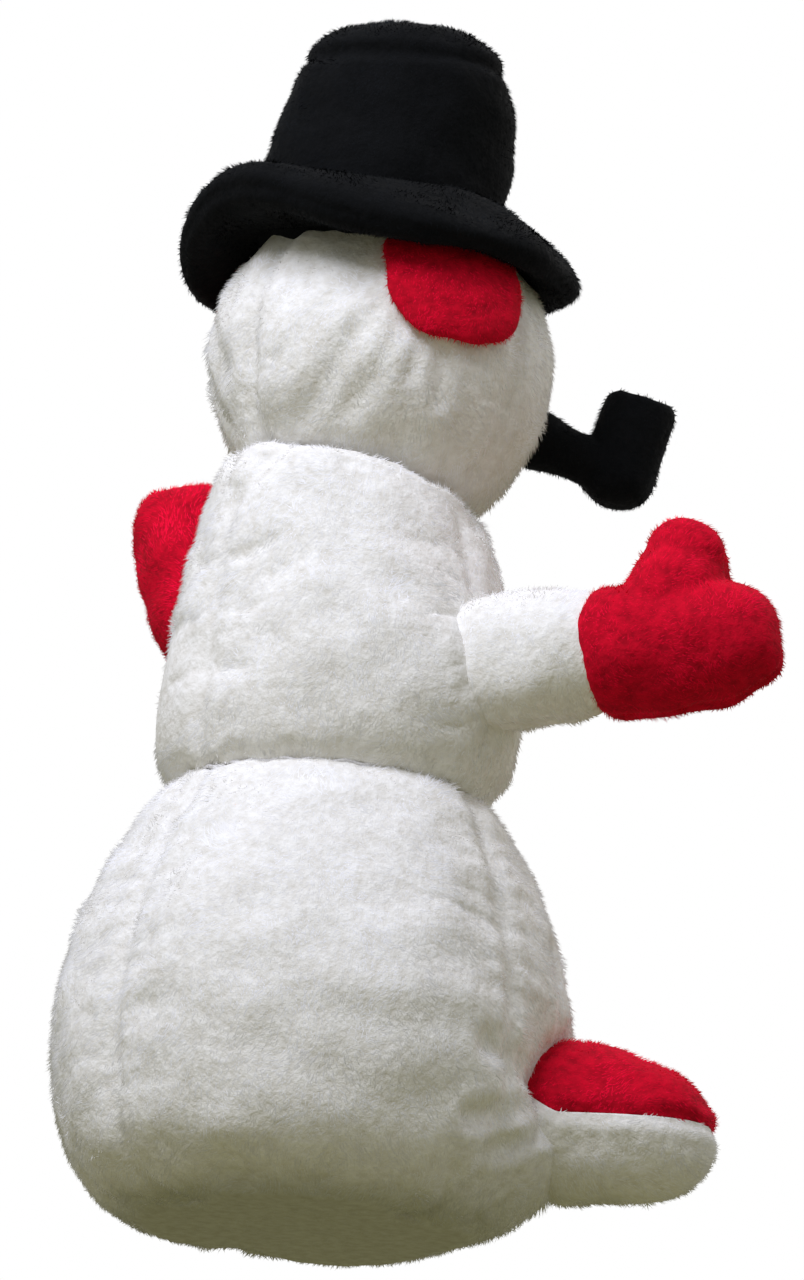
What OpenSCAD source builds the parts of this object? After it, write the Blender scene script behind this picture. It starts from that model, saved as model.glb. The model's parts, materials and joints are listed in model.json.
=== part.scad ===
// Giant stuffed plush snowman that sits on a flat base and waves its left hand.
// Front is -Y, the snowman's right hand is at -X, the floor is z = 0 under the middle of the base.

/* [Torso] */
// Radius of the flat base panel
base_r = 105; // [95:1:112]
// Widest radius of the belly
belly_r = 201; // [197:1:204]
// Height of the widest ring of the belly
belly_mid_z = 145; // [138:1:150]
// Radius of the waist crease
waist_r = 122; // [116:1:128]
// Height of the waist crease
waist_z = 335; // [328:1:340]
// Widest radius of the chest
chest_r = 140; // [138:1:142]
// Height of the widest ring of the chest
chest_mid_z = 392; // [386:1:396]
// Radius at which the chest would run out at its top
chest_top_r = 90; // [86:1:94]
// Height at which the chest would run out at its top
chest_top_z = 608; // [604:1:612]

/* [Head] */
// Height of the point in the neck about which the head nods and turns
neck_z = 581; // [578:1:584]
// How far that point sits in front of the belly's middle
neck_forward = 4; // [0:1:8]
// Forward slope of the neck crease, in degrees
neck_slope = 9; // [6:0.5:10]
// Tilt of the face down from level at rest, in degrees
head_nod = -2; // [-4:0.5:4]
// Tilt of the head to its right at rest, in degrees
head_tilt = 4.5; // [0:0.5:6]
// Radius of the head
head_r = 135; // [132:1:137]
// Distance from the neck point up to the middle of the head
head_up = 99; // [97:1:101]
// Radius of the firm wad of stuffing in the neck
neck_ball_r = 58; // [52:1:60]
// Radius of an ear muff
muff_r = 62; // [56:1:64]
// Thickness of an ear muff
muff_t = 16; // [12:1:17]
// Length of the carrot nose
nose_length = 62; // [56:1:68]
// Radius of the nose at the face
nose_r = 23; // [18:1:26]
// Radius of an eye's dome
eye_r = 15; // [12:1:16]

/* [Hat] */
// Outer radius of the hat's brim
brim_r = 156; // [150:1:158]
// Thickness of the padded brim
brim_t = 38; // [34:1:40]
// Droop of the brim, in degrees
brim_droop = 24; // [22:0.5:27]
// Radius of the crown where it meets the brim
crown_r = 95; // [92:1:96]
// Radius of the crown at its top seam
crown_top_r = 77; // [72:1:82]
// Height of the hat's top above the middle of the head
hat_top_z = 269; // [265:1:274]
// How far the hat is pushed back on the head
hat_back = 14; // [10:1:16]

/* [Pipe] */
// Radius of the pipe's stem
stem_r = 22; // [18:1:23]
// Distance from the mouth to the middle of the bowl
pipe_reach = 67; // [65:1:72]
// Radius of the pipe's bowl
bowl_r = 32; // [28:1:34]
// Height of the pipe's bowl
bowl_h = 88; // [84:1:94]

/* [Arms] */
// Height of the shoulders
shoulder_z = 428; // [425:1:430]
// Distance of a shoulder's turning point from the belly's middle line
shoulder_r = 146; // [145:1:150]
// Radius of the round root of an arm
arm_ball_r = 60; // [58:1:61]
// Radius of a sleeve at its wrist
cuff_r = 49; // [46:1:51]
// Length of a sleeve from the shoulder to the wrist
sleeve_length = 78; // [76:1:84]
// Length of an arm from the shoulder to the finger tips
arm_length = 219; // [214:1:224]
// Widest radius of a mitten
mitten_r = 56; // [52:1:58]
// Radius of a thumb
thumb_r = 34; // [30:1:36]
// Direction of the right arm at rest, in degrees forward of the side
right_forward = 40; // [35:1:42]
// Height angle of the right arm at rest, in degrees
right_raise = 5; // [2:1:7]
// Direction of the left arm at rest, in degrees forward of the side
left_forward = -14; // [-15:1:-10]
// Height angle of the left arm at rest, in degrees
left_raise = 60; // [55:1:60]

/* [Feet] */
// Height of the feet's turning points
foot_z = 95; // [90:1:98]
// Distance of a foot's turning point from the belly's middle line
foot_pivot_r = 200; // [199:1:202]
// Direction of the right foot, in degrees from straight ahead
right_splay = 42; // [38:1:44]
// Direction of the left foot, in degrees from straight ahead
left_splay = 32; // [28:1:36]
// Radius of the round root of a foot
foot_ball_r = 64; // [60:1:65]
// Length of a foot from its turning point to its toe
foot_length = 113; // [108:1:116]
// Height angle of a foot at rest, in degrees
foot_raise = -1; // [-3:1:2]

/* [Fabric] */
// Thickness of the long plush, backing and pile together
plush = 8; // [7:0.5:9]
// Thickness of the short plush of the hat, pipe and nose
short_plush = 5; // [4:0.5:6]
// Room between neighbouring pieces that do not move
ease = 0.5; // [0.4:0.1:0.6]
// Room between pieces that move against each other
gap = 0.8; // [0.6:0.1:1]

/* [Hidden] */
$fn = 96;
// Outline steps of one rounded quarter
steps = 12;
// A size larger than the whole snowman, for half spaces
big = 1000;
// Half of the crease between head and chest, which lets the head nod
neck_gap = 8.5;
// Half thickness of the waist's gathering thread
thread_r = 1.5;
// The armhole gusset is a thin cup between the chest and the arm's round root
gusset_t = 6;
gusset_inner_r = arm_ball_r + gap;
gusset_outer_r = gusset_inner_r + gusset_t;
armhole_r = gusset_outer_r + gap;
// The gusset's rim stops short of the middle so that the sleeve can swing
gusset_rim = -7;
// Both shoulders sit a little in front of the sides
shoulder_forward = 15;
shoulder_x = shoulder_r * cos(shoulder_forward);
shoulder_y = shoulder_r * sin(shoulder_forward);
// Height angles of the cups: the middle of each arm's swing
right_cup_raise = 5;
left_cup_raise = 22;
// The sleeve leaves its round root narrow, and widens to the wrist
sleeve_root_r = 40;
sleeve_root_z = sqrt(arm_ball_r * arm_ball_r - sleeve_root_r * sleeve_root_r);
sleeve_root_angle = asin(sleeve_root_r / arm_ball_r);
// Widest place of the mitten, and the middle of the thumb's round end
mitten_mid_z = 150;
thumb_out = 70;
thumb_z = 150;
thumb_root_z = 138;
// The left hand is turned a little so that its thumb points ahead of the head
left_hand_roll = 20;
// The foot leaves its round root at this angle and is fullest just before the toe's curve
foot_root_angle = 52;
foot_full_r = 53;
foot_full_z = 56;
// Directions on the head: degrees to the snowman's right of the face, and up
right_muff = [105, 27];
eye_side = 15;
eye_up = 11;
nose_up = -9;
pipe_side = 24;
pipe_up = -16;
// The muffs end under the brim
muff_top_z = 61;
// The pipe's round root and the narrow start of its stem
pipe_ball_r = 26;
stem_root_z = 17;
// The bowl leans back towards the face from square on to the stem
bowl_lean = 4;
bowl_below = 26;
bowl_top_recess = 7;
// The eye's post and the washer that locks it behind the plush
post_r = 3;
post_length = 20;
washer_r = 11;
washer_t = 3;
// The smile is an arc of a circle on the head around a point below the nose, and stops at the pipe
smile_up = -4;
smile_angle = 27;
smile_right = 24;
smile_left = 48;
smile_thread_r = 2.5;
// Crown seam height, and where the brim's middle line meets the crown and its rim
crown_seam_z = 231;
brim_half = brim_t / 2;
brim_rim = [brim_r - brim_half, 86];
brim_root = [crown_r - brim_half, brim_rim[1] + (brim_r - crown_r) * tan(brim_droop)];

white = "whitesmoke";
red = "crimson";
black = [0.08, 0.08, 0.09];
wadding = "ivory";

// Outlines

function reversed(points) = [for (i = [len(points) - 1:-1:0]) points[i]];

// All but the first point, so that two outlines join without a double point
function tail(points) = [for (i = [1:len(points) - 1]) points[i]];

// A rounded quarter that leaves (r0, z0) level and reaches (r1, z1) upright; a larger n is squarer
function corner(r0, z0, r1, z1, n) = [
    for (i = [0:steps])
        let (t = 90 * i / steps)
        [r0 + (r1 - r0) * pow(sin(t), 2 / n), z1 + (z0 - z1) * pow(cos(t), 2 / n)]
];

// An arc about (r, z)
function arc(r, z, radius, from, to) = [
    for (i = [0:steps])
        let (t = from + (to - from) * i / steps)
        [r + radius * cos(t), z + radius * sin(t)]
];

// Belly, chest and head outlines, from the bottom up, a depth d under the surface
function belly_outline(d) = concat(
    corner(base_r, d, belly_r - d, belly_mid_z, 2.6),
    tail(reversed(corner(waist_r - d, waist_z, belly_r - d, belly_mid_z, 1.35)))
);

function chest_outline(d) = concat(
    corner(waist_r - d, waist_z + ease, chest_r - d, chest_mid_z, 2),
    tail(reversed(corner(chest_top_r - d, chest_top_z, chest_r - d, chest_mid_z, 1.4)))
);

function head_outline(d) =
    let (start = -asin((head_up - neck_gap - d) / (head_r - d)))
    [
        for (i = [0:2 * steps])
            let (t = start + (90 - start) * i / (2 * steps))
            [(head_r - d) * cos(t), head_up + (head_r - d) * sin(t)]
    ];

function sleeve_outline(d) = concat(
    arc(0, 0, arm_ball_r - d, -90, 90 - sleeve_root_angle),
    [[sleeve_root_r + 5 - d, sleeve_root_z + 17], [cuff_r - d, sleeve_length]]
);

function mitten_outline(d) = concat(
    corner(cuff_r - d, sleeve_length + ease, mitten_r - d, mitten_mid_z, 1.6),
    tail(reversed(corner(0, arm_length - d, mitten_r - d, mitten_mid_z, 2.6)))
);

function foot_outline(d) = concat(
    arc(0, 0, foot_ball_r - d, -90, 90 - foot_root_angle),
    tail(reversed(corner(0, foot_length - d, foot_full_r - d, foot_full_z, 2.2)))
);

function nose_outline(d) = concat(
    [[nose_r - d, -nose_r], [nose_r - d, 0]],
    tail(reversed(corner(0, nose_length - d, nose_r - d, 0, 1.25)))
);

function bowl_outline(d) = concat(
    corner(0, d, bowl_r - d, bowl_below, 2.4),
    [[bowl_r - d, bowl_h * 0.6], [bowl_r - 3 - d, bowl_h]]
);

function crown_outline(d) = concat(
    [[crown_r - d, 0], [crown_r - d, brim_root[1]]],
    tail(reversed(corner(crown_top_r - d, crown_seam_z, crown_r - d, brim_root[1], 1.7)))
);

// Turned solids

module turned(points) {
    rotate_extrude() polygon(points);
}

// A solid turned from an outline, closed on the axis
module filled(outline) {
    top = outline[len(outline) - 1];
    turned(concat([[0, outline[0][1]]], outline, [[0, top[1]]]));
}

// The same with its open lower end carried on by some length, to cut a way out
module filled_through(outline, by) {
    top = outline[len(outline) - 1];
    turned(concat([[0, outline[0][1] - by], [outline[0][0], outline[0][1] - by]], outline, [[0, top[1]]]));
}

// Places

// At the neck's turning point, +Z square to the neck crease
module at_neck() {
    translate([0, -neck_forward, neck_z]) rotate([neck_slope, 0, 0]) children();
}

// At the middle of the head, +Z towards the crown of the head and -Y out of the face
module at_head() {
    at_neck() translate([0, 0, head_up]) rotate([-neck_slope, 0, 0]) rotate([head_nod, -head_tilt, 0]) children();
}

// In the middle of the hat, at the height of the middle of the head
module at_hat() {
    at_head() translate([0, hat_back, 0]) children();
}

// On the head, +Z out of it, at degrees to its right and up
module on_head(right, up, radius) {
    at_head() rotate([0, 0, -90 - right]) rotate([0, 90 - up, 0]) translate([0, 0, radius]) children();
}

// At a shoulder, +Z along the arm and -X upwards; side is -1 on the right and 1 on the left
module at_shoulder(side, forward, raise) {
    translate([side * shoulder_x, -shoulder_y, shoulder_z])
        rotate([0, 0, 90 - side * (90 + forward)]) rotate([0, 90 - raise, 0]) children();
}

module at_arm(side) {
    if (side < 0)
        at_shoulder(side, right_forward, right_raise) children();
    else
        at_shoulder(side, left_forward, left_raise) rotate([0, 0, left_hand_roll]) children();
}

// Turn of a foot from straight ahead, to its own side
function splay_of(side) = side < 0 ? -right_splay : left_splay;

// At a foot, +Z along the foot and -X upwards
module at_foot(side) {
    rotate([0, 0, -90 + splay_of(side)]) translate([foot_pivot_r, 0, foot_z])
        rotate([0, 90 - foot_raise, 0]) children();
}

// At the mouth's right corner, +Z along the pipe's stem
module at_pipe() {
    on_head(pipe_side, pipe_up, head_r) children();
}

// Half spaces: everything above a level of the frame it is drawn in, and a side of a plane through Z
module above(level) {
    translate([-big / 2, -big / 2, level]) cube(big);
}

module side_of_x(sign) {
    translate([sign > 0 ? 0 : -big, -big / 2, -big / 2]) cube(big);
}

module side_of_y(sign) {
    translate([-big / 2, sign > 0 ? 0 : -big, -big / 2]) cube(big);
}

// Round seats that the moving pieces turn in

module armholes() {
    for (side = [-1, 1])
        at_shoulder(side, shoulder_forward, 0) sphere(armhole_r);
}

module foot_seats(room) {
    for (side = [-1, 1])
        rotate([0, 0, -90 + splay_of(side)]) translate([foot_pivot_r, 0, foot_z]) sphere(foot_ball_r + room);
}

module neck_seat() {
    at_neck() sphere(neck_ball_r + gap);
}

module pipe_seat() {
    at_pipe() sphere(pipe_ball_r + gap);
}

// Torso

module base_panel() {
    color(white) cylinder(r = base_r - ease, h = plush);
}

module belly_shell() {
    color(white) difference() {
        turned(concat(belly_outline(0), reversed(belly_outline(plush))));
        foot_seats(gap);
        thread_ring(thread_r + ease);
    }
}

module belly_stuffing() {
    color(wadding) difference() {
        filled(belly_outline(plush + ease));
        foot_seats(gap + ease);
    }
}

module chest_shell() {
    color(white) difference() {
        filled(chest_outline(0));
        difference() {
            filled_through(chest_outline(plush), plush);
            at_neck() above(-neck_gap - plush);
        }
        at_neck() above(-neck_gap);
        neck_seat();
        armholes();
        thread_ring(thread_r + ease);
    }
}

module chest_stuffing() {
    color(wadding) difference() {
        filled(chest_outline(plush + ease));
        at_neck() above(-neck_gap - plush - ease);
        neck_seat();
        armholes();
    }
}

module thread_ring(radius) {
    rotate_extrude() translate([waist_r, waist_z]) circle(radius);
}

module waist_thread() {
    color(white) thread_ring(thread_r);
}

// Neck and head

module neck_wad() {
    color(wadding) at_neck() sphere(neck_ball_r);
}

// The whole head to a depth d under its surface, or outside it for a negative d
module head_solid(d) {
    at_neck() filled(head_outline(d));
}

module eye_axis(side) {
    on_head(-side * eye_side, eye_up, head_r) children();
}

module head_shell() {
    color(white) difference() {
        head_solid(0);
        head_solid(plush);
        neck_seat();
        pipe_seat();
        for (side = [-1, 1])
            eye_axis(side) translate([0, 0, -2 * plush]) cylinder(r = post_r + ease, h = 3 * plush);
    }
}

module head_stuffing() {
    color(wadding) difference() {
        head_solid(plush + ease);
        neck_seat();
        pipe_seat();
        for (side = [-1, 1])
            eye_axis(side) translate([0, 0, -post_length - 2]) cylinder(r = washer_r + ease, h = post_length + 2);
    }
}

module ear_muff(side) {
    color(red) difference() {
        intersection() {
            head_solid(-muff_t);
            on_head(-side * right_muff[0], right_muff[1], 0) cylinder(r = muff_r, h = big);
        }
        head_solid(-ease);
        at_head() above(muff_top_z);
    }
}

module right_ear_muff() {
    ear_muff(-1);
}

module left_ear_muff() {
    ear_muff(1);
}

module eye(side) {
    color(black) {
        difference() {
            eye_axis(side) sphere(eye_r);
            head_solid(-ease);
        }
        eye_axis(side) translate([0, 0, -post_length]) cylinder(r = post_r, h = post_length + eye_r / 2);
    }
}

module right_eye() {
    eye(-1);
}

module left_eye() {
    eye(1);
}

module eye_washers() {
    color("dimgray") for (side = [-1, 1])
        eye_axis(side) translate([0, 0, -plush - 2 * washer_t]) difference() {
            cylinder(r = washer_r, h = washer_t);
            translate([0, 0, -1]) cylinder(r = post_r + ease, h = washer_t + 2);
        }
}

module nose_shell() {
    color("darkorange") difference() {
        on_head(0, nose_up, head_r) filled(nose_outline(0));
        on_head(0, nose_up, head_r) filled_through(nose_outline(short_plush), 1);
        head_solid(-ease);
    }
}

module nose_stuffing() {
    color(wadding) difference() {
        on_head(0, nose_up, head_r) filled(nose_outline(short_plush + ease));
        head_solid(-ease);
    }
}

module mouth_stitching() {
    lift = head_r + smile_thread_r + ease;
    color(black) on_head(0, smile_up, lift * cos(smile_angle))
        rotate([0, 0, -smile_right]) rotate_extrude(angle = smile_right + smile_left)
            translate([lift * sin(smile_angle), 0]) circle(smile_thread_r);
}

// Hat

module hat_crown() {
    color(black) difference() {
        at_hat() filled(crown_outline(0));
        at_hat() filled_through(crown_outline(short_plush), 1);
        at_hat() cylinder(r = crown_top_r - short_plush, h = big);
        head_solid(-ease);
    }
}

// The domed top panel, sewn to the crown along the top seam
function dome_outline(d) = reversed(corner(0, hat_top_z - d, crown_top_r, crown_seam_z + ease, 2.3));

module hat_top() {
    color(black) at_hat() difference() {
        filled(dome_outline(0));
        filled_through(reversed(corner(
            0, hat_top_z - short_plush, crown_top_r - short_plush, crown_seam_z + ease, 2.3)), 1);
    }
}

module hat_crown_stuffing() {
    inset = short_plush + ease;
    color(wadding) difference() {
        at_hat() {
            filled(crown_outline(inset));
            filled(reversed(corner(0, hat_top_z - inset, crown_top_r - inset, crown_seam_z, 2.3)));
        }
        head_solid(-ease);
    }
}

// A half of the brim's section between two distances from its middle line; sign is 1 above and -1 below
function brim_half_section(sign, outer, inner) =
    let (
        slope = atan2(brim_rim[1] - brim_root[1], brim_rim[0] - brim_root[0]),
        up = slope + 90 * sign,
        across = [cos(up), sin(up)]
    )
    concat(
        [brim_root + outer * across],
        arc(brim_rim[0], brim_rim[1], outer, up, slope),
        inner > 0 ? arc(brim_rim[0], brim_rim[1], inner, slope, up) : [brim_rim],
        [brim_root + inner * across]
    );

module brim_part(sign, outer, inner) {
    difference() {
        at_hat() turned(brim_half_section(sign, outer, inner));
        at_hat() cylinder(r = crown_r + ease, h = big);
        head_solid(-ease);
    }
}

module hat_brim_upper() {
    color(black) brim_part(1, brim_half, brim_half - short_plush);
}

module hat_brim_lower() {
    color(black) brim_part(-1, brim_half, brim_half - short_plush);
}

module hat_brim_pad() {
    pad_half = brim_half - short_plush - ease;
    color(wadding) {
        brim_part(1, pad_half, 0);
        brim_part(-1, pad_half, 0);
    }
}

// Pipe

module stem_solid(d) {
    filled(concat(
        arc(0, 0, pipe_ball_r - d, -90, 50),
        [[stem_r - d, stem_root_z + 16], [stem_r - d, pipe_reach]]
    ));
}

module at_bowl() {
    translate([0, 0, pipe_reach]) rotate([0, -90 - bowl_lean, 0]) translate([0, 0, -bowl_below]) children();
}

module bowl_solid(d) {
    at_bowl() filled(bowl_outline(d));
}

module pipe_stem() {
    color(black) at_pipe() difference() {
        stem_solid(0);
        stem_solid(short_plush);
        bowl_solid(-ease);
    }
}

module pipe_bowl() {
    color(black) at_pipe() difference() {
        bowl_solid(0);
        bowl_solid(short_plush);
        at_bowl() translate([0, 0, bowl_h - bowl_top_recess - short_plush])
            cylinder(r = bowl_r - short_plush, h = bowl_h);
        cylinder(r = stem_r - short_plush, h = pipe_reach);
    }
}

module pipe_bowl_top() {
    color(black) at_pipe() at_bowl() translate([0, 0, bowl_h - bowl_top_recess - short_plush])
        cylinder(r = bowl_r - short_plush - 3 - ease, h = short_plush);
}

module pipe_stuffing() {
    inset = short_plush + ease;
    color(wadding) at_pipe() difference() {
        union() {
            stem_solid(inset);
            bowl_solid(inset);
        }
        at_bowl() translate([0, 0, bowl_h - bowl_top_recess - short_plush - ease]) cylinder(r = bowl_r, h = bowl_h);
    }
}

// Arms

module gusset(side, cup_raise) {
    color(white) at_shoulder(side, shoulder_forward, cup_raise) difference() {
        sphere(gusset_outer_r);
        sphere(gusset_inner_r);
        above(gusset_rim);
    }
}

module sleeve(side) {
    color(white) at_arm(side) difference() {
        filled(sleeve_outline(0));
        filled(sleeve_outline(plush));
    }
}

module arm_stuffing(side) {
    color(wadding) at_arm(side) filled(sleeve_outline(plush + ease));
}

// The thumb stands up from the mitten
module thumb(d) {
    lean = atan2(thumb_out, thumb_z - thumb_root_z);
    reach = norm([thumb_out, thumb_z - thumb_root_z]);
    translate([0, 0, thumb_root_z]) rotate([0, -lean, 0])
        filled(concat([[thumb_r + 3 - d, 0]], arc(0, reach, thumb_r - d, 0, 90)));
}

module mitten_solid(d) {
    filled(mitten_outline(d));
    thumb(d);
}

// Half of the mitten's skin; the seam runs around it through the thumb
module mitten_half(side, sign) {
    color(red) at_arm(side) intersection() {
        difference() {
            mitten_solid(0);
            filled_through(mitten_outline(plush), 1);
            thumb(plush);
        }
        translate([0, sign * ease / 2, 0]) side_of_y(sign);
    }
}

module mitten_stuffing(side) {
    color(wadding) at_arm(side) mitten_solid(plush + ease);
}

module right_gusset() {
    gusset(-1, right_cup_raise);
}

module right_sleeve() {
    sleeve(-1);
}

module right_arm_stuffing() {
    arm_stuffing(-1);
}

module right_mitten_palm() {
    mitten_half(-1, 1);
}

module right_mitten_back() {
    mitten_half(-1, -1);
}

module right_mitten_stuffing() {
    mitten_stuffing(-1);
}

module left_gusset() {
    gusset(1, left_cup_raise);
}

module left_sleeve() {
    sleeve(1);
}

module left_arm_stuffing() {
    arm_stuffing(1);
}

module left_mitten_palm() {
    mitten_half(1, -1);
}

module left_mitten_back() {
    mitten_half(1, 1);
}

module left_mitten_stuffing() {
    mitten_stuffing(1);
}

// Feet

module foot_half(side, sign, tint) {
    color(tint) at_foot(side) intersection() {
        difference() {
            filled(foot_outline(0));
            filled(foot_outline(plush));
        }
        translate([sign * ease / 2, 0, 0]) side_of_x(sign);
    }
}

module foot_stuffing(side) {
    color(wadding) at_foot(side) filled(foot_outline(plush + ease));
}

module right_foot_upper() {
    foot_half(-1, -1, red);
}

module right_foot_sole() {
    foot_half(-1, 1, white);
}

module right_foot_stuffing() {
    foot_stuffing(-1);
}

module left_foot_upper() {
    foot_half(1, -1, red);
}

module left_foot_sole() {
    foot_half(1, 1, white);
}

module left_foot_stuffing() {
    foot_stuffing(1);
}

base_panel();
belly_shell();
belly_stuffing();
chest_shell();
chest_stuffing();
waist_thread();
neck_wad();
head_shell();
head_stuffing();
right_ear_muff();
left_ear_muff();
right_eye();
left_eye();
eye_washers();
nose_shell();
nose_stuffing();
mouth_stitching();
hat_crown();
hat_top();
hat_crown_stuffing();
hat_brim_upper();
hat_brim_lower();
hat_brim_pad();
pipe_stem();
pipe_bowl();
pipe_bowl_top();
pipe_stuffing();
right_gusset();
right_sleeve();
right_arm_stuffing();
right_mitten_palm();
right_mitten_back();
right_mitten_stuffing();
left_gusset();
left_sleeve();
left_arm_stuffing();
left_mitten_palm();
left_mitten_back();
left_mitten_stuffing();
right_foot_upper();
right_foot_sole();
right_foot_stuffing();
left_foot_upper();
left_foot_sole();
left_foot_stuffing();
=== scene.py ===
import json
import math

import bpy
import numpy as np
from mathutils import Matrix, Vector


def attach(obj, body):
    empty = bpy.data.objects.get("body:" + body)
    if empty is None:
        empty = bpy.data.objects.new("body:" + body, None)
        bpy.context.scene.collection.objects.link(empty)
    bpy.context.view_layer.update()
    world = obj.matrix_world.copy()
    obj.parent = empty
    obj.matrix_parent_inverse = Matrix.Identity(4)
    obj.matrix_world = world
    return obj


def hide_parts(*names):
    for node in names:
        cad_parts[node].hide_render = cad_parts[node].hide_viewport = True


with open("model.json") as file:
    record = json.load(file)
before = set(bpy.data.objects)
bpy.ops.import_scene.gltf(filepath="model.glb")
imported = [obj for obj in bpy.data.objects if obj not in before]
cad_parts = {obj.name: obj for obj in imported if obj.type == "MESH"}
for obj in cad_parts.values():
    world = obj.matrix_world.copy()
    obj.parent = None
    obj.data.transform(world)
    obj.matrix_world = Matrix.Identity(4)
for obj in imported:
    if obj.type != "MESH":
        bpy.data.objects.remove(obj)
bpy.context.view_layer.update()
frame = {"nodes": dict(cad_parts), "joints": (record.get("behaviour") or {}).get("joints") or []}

# BELLY
# The large lower ball: long-pile white plush, cut as one front panel and two back panels.
# The panels are sewn inside out, so each seam pulls in, and loose fibre fills the bag tight.


def quarter(r0, z0, r1, z1, squareness, steps=10):
    """Rings of a rounded quarter that leaves (r0, z0) level and reaches (r1, z1) upright."""
    turns = [math.pi / 2 * i / steps for i in range(steps + 1)]
    power = 2 / squareness
    return [(r0 + (r1 - r0) * math.sin(t) ** power, z1 + (z0 - z1) * math.cos(t) ** power) for t in turns]


def pattern(name, rings, around=64):
    """A sewn form about Z, drawn out ring by ring; each ring is a radius and a height."""
    radius, height = rings[0]
    bpy.ops.object.select_all(action="DESELECT")
    bpy.ops.mesh.primitive_circle_add(vertices=around, radius=radius, fill_type="NGON")
    piece = bpy.context.object
    piece.name = piece.data.name = name
    piece.location.z = height
    bpy.ops.object.transform_apply(location=True)
    bpy.ops.object.mode_set(mode="EDIT")
    for (r0, z0), (r1, z1) in zip(rings, rings[1:]):
        bpy.ops.mesh.extrude_region_move(TRANSFORM_OT_translate={"value": (0, 0, z1 - z0)})
        bpy.ops.transform.resize(value=(r1 / r0, r1 / r0, 1), center_override=(0, 0, z1))
    bpy.ops.mesh.select_all(action="SELECT")
    bpy.ops.mesh.normals_make_consistent(inside=False)
    bpy.ops.object.mode_set(mode="OBJECT")
    return piece


def take(piece):
    """Makes the piece the only one selected."""
    bpy.ops.object.select_all(action="DESELECT")
    piece.select_set(True)
    bpy.context.view_layer.objects.active = piece


def put(piece, place):
    """Lays the piece at its place and keeps that place in its mesh."""
    take(piece)
    piece.matrix_world = place @ piece.matrix_world
    bpy.ops.object.transform_apply(location=True, rotation=True, scale=True)


def points_of(piece):
    """The piece's vertices as rows of x, y and z."""
    flat = np.empty(3 * len(piece.data.vertices))
    piece.data.vertices.foreach_get("co", flat)
    return flat.reshape(-1, 3)


def outward_of(piece):
    """The outward direction at each vertex."""
    flat = np.empty(3 * len(piece.data.vertices))
    piece.data.vertex_normals.foreach_get("vector", flat)
    return flat.reshape(-1, 3)


def shape(piece, points):
    """Moves the piece's vertices to the given points."""
    piece.data.vertices.foreach_set("co", np.ascontiguousarray(points).ravel())
    piece.data.update()


def away_from(points, line):
    """Distance of each point from a line of stitches."""
    best = np.full(len(points), 9.0)
    for a, b in zip(np.array(line)[:-1], np.array(line)[1:]):
        t = np.clip((points - a) @ (b - a) / ((b - a) @ (b - a)), 0, 1)
        best = np.minimum(best, np.linalg.norm(points - a - t[:, None] * (b - a), axis=1))
    return best


def lumps(points, size, seed):
    """A smooth random height of about -1 to 1 that changes over the given size."""
    chance = np.random.default_rng(seed)
    waves = chance.normal(size=(16, 3))
    waves *= (2 * math.pi / size) * chance.uniform(0.6, 1.2, (16, 1)) / np.linalg.norm(waves, axis=1)[:, None]
    return np.sin(points @ waves.T + chance.uniform(0, 2 * math.pi, 16)).sum(axis=1) / 4


def stuff(piece, voxel, swell, seams=(), slack=0.02):
    """Fills a sewn form: the cloth swells under pressure, held along its seams."""
    take(piece)
    piece.data.remesh_voxel_size = voxel
    bpy.ops.object.voxel_remesh()
    sewn = points_of(piece)
    held = piece.vertex_groups.new(name="seams")
    for line in seams:
        held.add(np.flatnonzero(away_from(sewn, line) < voxel).tolist(), 1.0, "REPLACE")
    filling = piece.modifiers.new("filling", "CLOTH")
    filling.settings.quality = 4
    filling.settings.mass = 0.3
    filling.settings.use_pressure = True
    filling.settings.uniform_pressure_force = 4
    filling.settings.shrink_min = -slack
    filling.settings.effector_weights.gravity = 0
    filling.settings.vertex_group_mass = "seams"
    filling.collision_settings.use_collision = False
    filling.point_cache.frame_start, filling.point_cache.frame_end = 1, 20
    for step in range(1, 21):
        bpy.context.scene.frame_set(step)
    bpy.ops.object.modifier_apply(modifier="filling")
    bpy.context.scene.frame_set(1)
    piece.vertex_groups.clear()
    moved = points_of(piece) - sewn
    far = np.linalg.norm(moved, axis=1)
    full = sewn + moved * np.minimum(1, swell / np.maximum(far, 1e-9))[:, None]
    shape(piece, full)
    rounding = piece.modifiers.new("rounding", "SUBSURF")
    rounding.levels = rounding.render_levels = 1
    bpy.ops.object.modifier_apply(modifier="rounding")
    bpy.ops.object.shade_smooth()


def fold(piece, away, depth, width):
    """Presses a fold into the cloth: a valley where away is 0, with soft shoulders beside it."""
    steps = away / width
    height = 0.3 * np.exp(-(((steps - 2) / 0.9) ** 2)) - np.exp(-(steps**2))
    shape(piece, points_of(piece) + outward_of(piece) * (depth * height)[:, None])


def linear(code):
    """An sRGB hex colour as linear light."""
    parts = [int(code[i : i + 2], 16) / 255 for i in (1, 3, 5)]
    return tuple(c / 12.92 if c <= 0.04045 else ((c + 0.055) / 1.055) ** 2.4 for c in parts) + (1,)


def add(tree, kind, inputs, **settings):
    """Adds a node with its settings, values and links."""
    made = tree.nodes.new(kind)
    for key, value in settings.items():
        setattr(made, key, value)
    for key, value in inputs.items():
        if isinstance(value, bpy.types.NodeSocket):
            tree.links.new(value, made.inputs[key])
        else:
            made.inputs[key].default_value = value
    return made


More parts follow.
